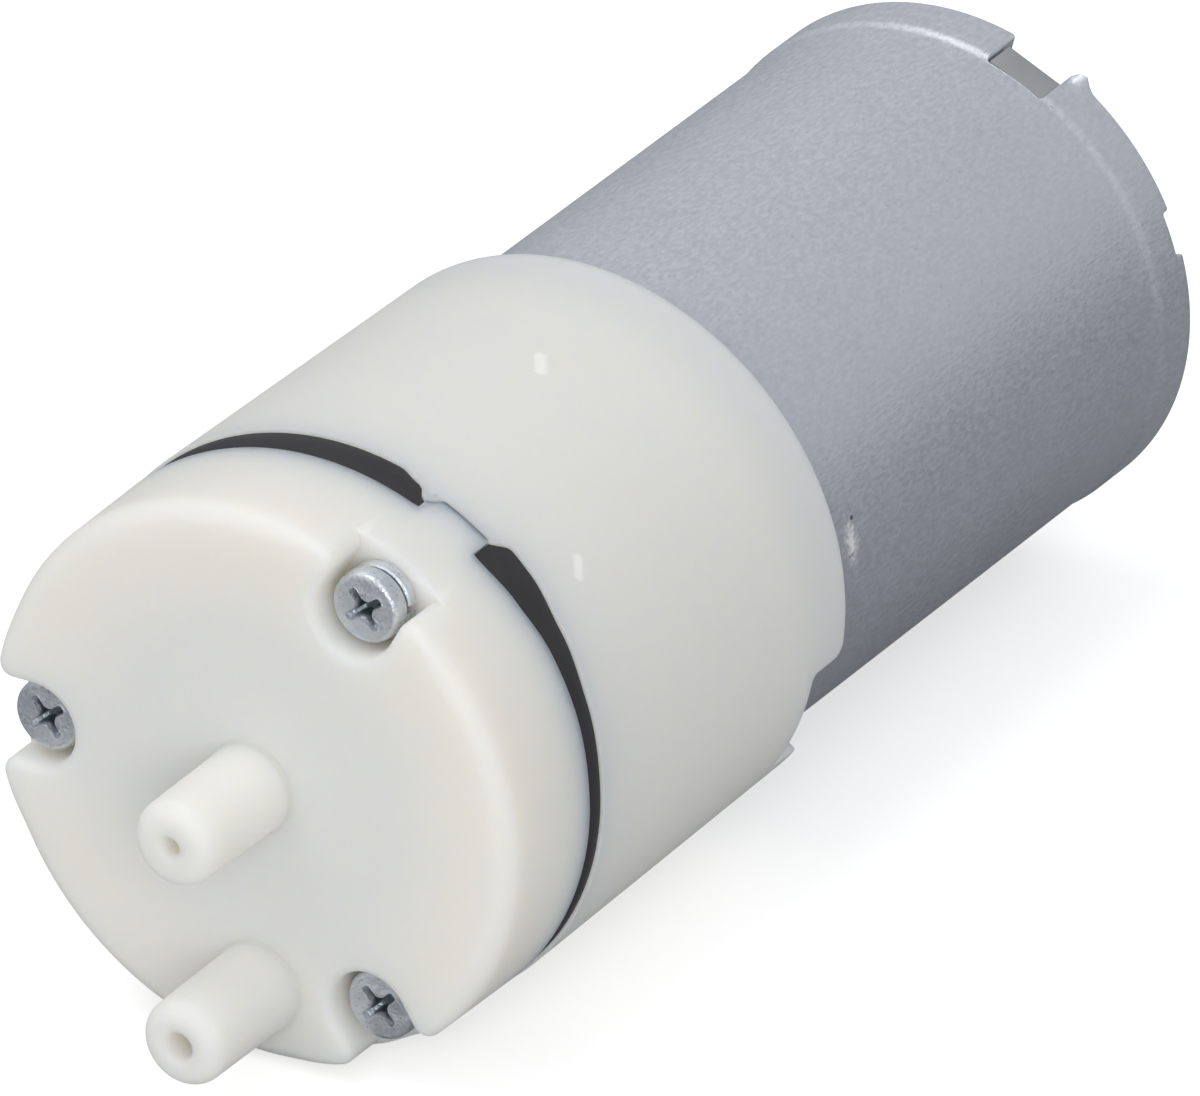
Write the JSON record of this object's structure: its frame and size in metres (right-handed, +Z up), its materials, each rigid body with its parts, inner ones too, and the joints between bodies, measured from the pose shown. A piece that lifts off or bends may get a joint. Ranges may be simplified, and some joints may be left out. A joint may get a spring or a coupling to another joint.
{
  "type": "diaphragm vacuum pump",
  "caption": "Small diaphragm vacuum pump: a brushed motor turns a wobble plate that works rubber cups behind a cover with an inlet and an outlet nozzle.",
  "frame": {"origin": "on the pump axis in the middle of the motor can, where a clip holds the pump", "axes": "+Y along the pump axis from the nozzles to the terminals, +Z up with the inlet nozzle below the outlet nozzle, +X to the right seen from the nozzles"},
  "size_m": [0.0274, 0.0681, 0.0274],
  "materials": {
    "natural_nylon": "natural translucent nylon, fine satin",
    "black_rubber": "matt black rubber",
    "zinc_screw": "bright zinc plate",
    "can_steel": "matt zinc plate, blue-grey",
    "grey_cap": "moulded grey plastic",
    "sintered_bronze": "oiled sintered bronze",
    "ferrite": "dull ferrite",
    "spring_steel": "spring steel",
    "lamination_steel": "stacked laminations",
    "enamelled_copper": "enamelled copper wire",
    "bare_copper": "turned copper",
    "carbon": "pressed carbon",
    "tinned_brass": "tinned brass",
    "shaft_steel": "ground steel",
    "drive_plastic": "moulded acetal"
  },
  "bodies": {
    "pump": {"head_cover": "natural_nylon", "lower_housing": "natural_nylon", "cylinder_plate": "natural_nylon", "valve_plate": "natural_nylon", "diaphragm": "black_rubber", "head_screws": "zinc_screw", "lock_washers": "zinc_screw", "motor_screws": "zinc_screw", "motor_can": "can_steel", "end_cap": "grey_cap", "front_bearing": "sintered_bronze", "rear_bearing": "sintered_bronze", "magnet_left": "ferrite", "magnet_right": "ferrite", "magnet_spring": "spring_steel", "brush_left": "carbon", "brush_right": "carbon", "terminal_left": "tinned_brass", "terminal_right": "tinned_brass"},
    "rotor": {"motor_shaft": "shaft_steel", "armature_core": "lamination_steel", "armature_coils": "enamelled_copper", "rotor_sleeve": "grey_cap", "commutator_hub": "grey_cap", "commutator_bars": "bare_copper", "thrust_washer": "grey_cap", "eccentric_wheel": "drive_plastic", "wobble_pin": "shaft_steel"},
    "wobble": {"wobble_plate": "drive_plastic"},
    "outlet_valve_body": {"outlet_valve": "black_rubber"},
    "inlet_valve_side_body": {"inlet_valve_side": "black_rubber"},
    "inlet_valve_upper_body": {"inlet_valve_upper": "black_rubber"},
    "inlet_valve_lower_body": {"inlet_valve_lower": "black_rubber"}
  },
  "joints": [
    {"name": "rotor_spin", "type": "hinge", "parent": "pump", "child": "rotor", "pos_m": [0, 0, 0], "axis": [0, 1, 0], "continuous": true},
    {"name": "wobble_turn", "type": "hinge", "parent": "rotor", "child": "wobble", "pos_m": [0, -0.0323, 0], "axis": [0.1392, 0.9903, 0], "continuous": true, "deforming": ["diaphragm"]},
    {"name": "outlet_valve_lift", "type": "slide", "parent": "pump", "child": "outlet_valve_body", "axis": [0, -1, 0], "range_m": [0, 0.0003], "stiffness_N_per_m": 5},
    {"name": "inlet_valve_side_lift", "type": "slide", "parent": "pump", "child": "inlet_valve_side_body", "axis": [0, 1, 0], "range_m": [0, 0.0003], "stiffness_N_per_m": 5},
    {"name": "inlet_valve_upper_lift", "type": "slide", "parent": "pump", "child": "inlet_valve_upper_body", "axis": [0, 1, 0], "range_m": [0, 0.0003], "stiffness_N_per_m": 5},
    {"name": "inlet_valve_lower_lift", "type": "slide", "parent": "pump", "child": "inlet_valve_lower_body", "axis": [0, 1, 0], "range_m": [0, 0.0003], "stiffness_N_per_m": 5}
  ],
  "couplings": [
    {"joint": "wobble_turn", "follows": "rotor_spin", "ratio": -1}
  ]
}
